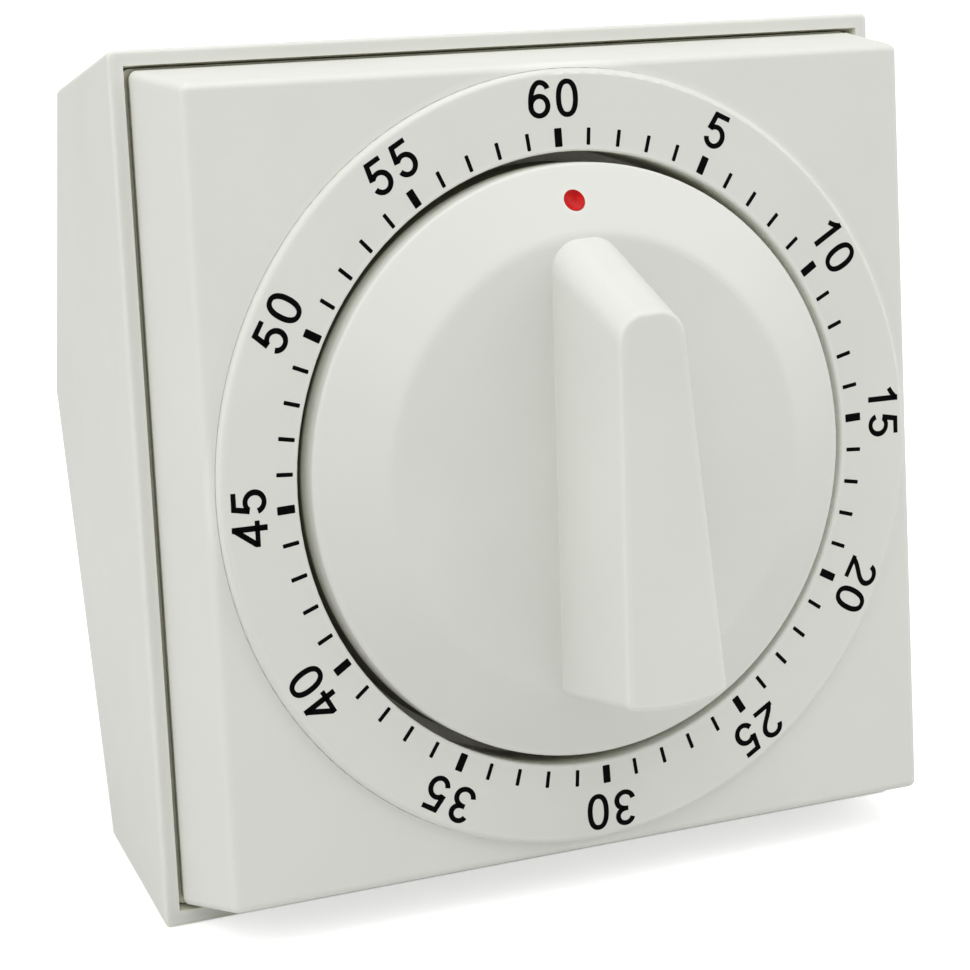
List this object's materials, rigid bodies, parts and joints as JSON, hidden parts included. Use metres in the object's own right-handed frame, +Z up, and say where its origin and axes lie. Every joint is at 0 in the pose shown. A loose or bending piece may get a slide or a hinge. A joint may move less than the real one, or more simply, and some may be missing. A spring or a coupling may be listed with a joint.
{
  "type": "kitchen timer",
  "caption": "Square off-white wind-up kitchen timer: drafted case leaning back, raised minute ring, round knob with a grip fin and red pointer dot, wheel train and bell inside.",
  "frame": {"origin": "middle of the flat base side that the timer stands on", "axes": "+X to the right of someone facing the dial, -Y out of the front, +Z up"},
  "size_m": [0.0848, 0.069, 0.0841],
  "materials": {
    "shell": "moulded, off-white, fine satin",
    "dial": "moulded, off-white, printed minute scale",
    "knob": "moulded, off-white, fine satin",
    "pointer": "red inlay",
    "screw_steel": "zinc plated",
    "plate_steel": "stamped, plated",
    "arbor_steel": "turned",
    "spring_steel": "tempered",
    "brass": "stamped",
    "bell": "plated"
  },
  "bodies": {
    "case": {"rear_housing": "shell", "front_cover": "shell", "dial_ring": "dial", "housing_screws": "screw_steel", "movement_screws": "screw_steel", "movement_front_plate": "plate_steel", "movement_back_plate": "plate_steel", "plate_pillars": "plate_steel", "pillar_nuts": "screw_steel", "mainspring": "spring_steel", "mainspring_post": "plate_steel", "hairspring": "spring_steel", "hairspring_stud": "plate_steel", "detent_stud": "plate_steel", "detent_spring": "spring_steel", "bell": "bell", "bell_post": "plate_steel", "bell_nut": "screw_steel"},
    "knob": {"knob": "knob", "pointer_dot": "pointer", "main_arbor": "arbor_steel", "main_wheel": "brass", "clutch_washer": "screw_steel", "arbor_clip": "screw_steel", "alarm_cam": "brass"},
    "second_arbor": {"second_pinion": "arbor_steel", "second_wheel": "brass"},
    "third_arbor": {"third_pinion": "arbor_steel", "third_wheel": "brass"},
    "escape_arbor": {"escape_pinion": "arbor_steel", "escape_wheel": "brass"},
    "balance": {"pallet_arbor": "arbor_steel", "pallet_lever": "arbor_steel", "balance_wheel": "brass"},
    "alarm_arbor": {"alarm_pinion": "arbor_steel", "alarm_star_wheel": "brass"},
    "hammer": {"hammer_arbor": "arbor_steel", "hammer_arm": "arbor_steel", "hammer_head": "arbor_steel"},
    "detent": {"detent_lever": "arbor_steel"}
  },
  "joints": [
    {"name": "knob_turn", "type": "hinge", "parent": "case", "child": "knob", "pos_m": [0, -0.00622, 0.04233], "axis": [0, 0.9903, -0.1392], "range_deg": [0, 354], "deforming": ["mainspring"]},
    {"name": "second_spin", "type": "hinge", "parent": "case", "child": "second_arbor", "pos_m": [-0.01434, -0.00762, 0.03239], "axis": [0, 0.9903, -0.1392], "range_deg": [-2130, 5]},
    {"name": "third_spin", "type": "hinge", "parent": "case", "child": "third_arbor", "pos_m": [-0.00926, -0.00913, 0.02162], "axis": [0, 0.9903, -0.1392], "range_deg": [-5, 10630]},
    {"name": "escape_spin", "type": "hinge", "parent": "case", "child": "escape_arbor", "pos_m": [-0.00005, -0.00866, 0.02494], "axis": [0, 0.9903, -0.1392], "range_deg": [-63730, 5]},
    {"name": "alarm_spin", "type": "hinge", "parent": "case", "child": "alarm_arbor", "pos_m": [0.01723, -0.00664, 0.03932], "axis": [0, 0.9903, -0.1392], "range_deg": [-2130, 5]},
    {"name": "balance_rock", "type": "hinge", "parent": "case", "child": "balance", "pos_m": [0.00891, -0.00855, 0.02572], "axis": [0, -0.9903, 0.1392], "range_deg": [-5, 5], "stiffness_Nm_per_rad": 0.0005, "deforming": ["hairspring"]},
    {"name": "hammer_swing", "type": "hinge", "parent": "case", "child": "hammer", "pos_m": [0.0193, -0.00557, 0.04698], "axis": [0, -0.9903, 0.1392], "range_deg": [0, 8]},
    {"name": "detent_drop", "type": "hinge", "parent": "case", "child": "detent", "pos_m": [0.0153, -0.00456, 0.05414], "axis": [0, -0.9903, 0.1392], "range_deg": [0, 8], "deforming": ["detent_spring"]}
  ],
  "couplings": [
    {"joint": "second_spin", "follows": "knob_turn", "ratio": -6},
    {"joint": "third_spin", "follows": "knob_turn", "ratio": 30},
    {"joint": "escape_spin", "follows": "knob_turn", "ratio": -180},
    {"joint": "alarm_spin", "follows": "knob_turn", "ratio": -6}
  ]
}
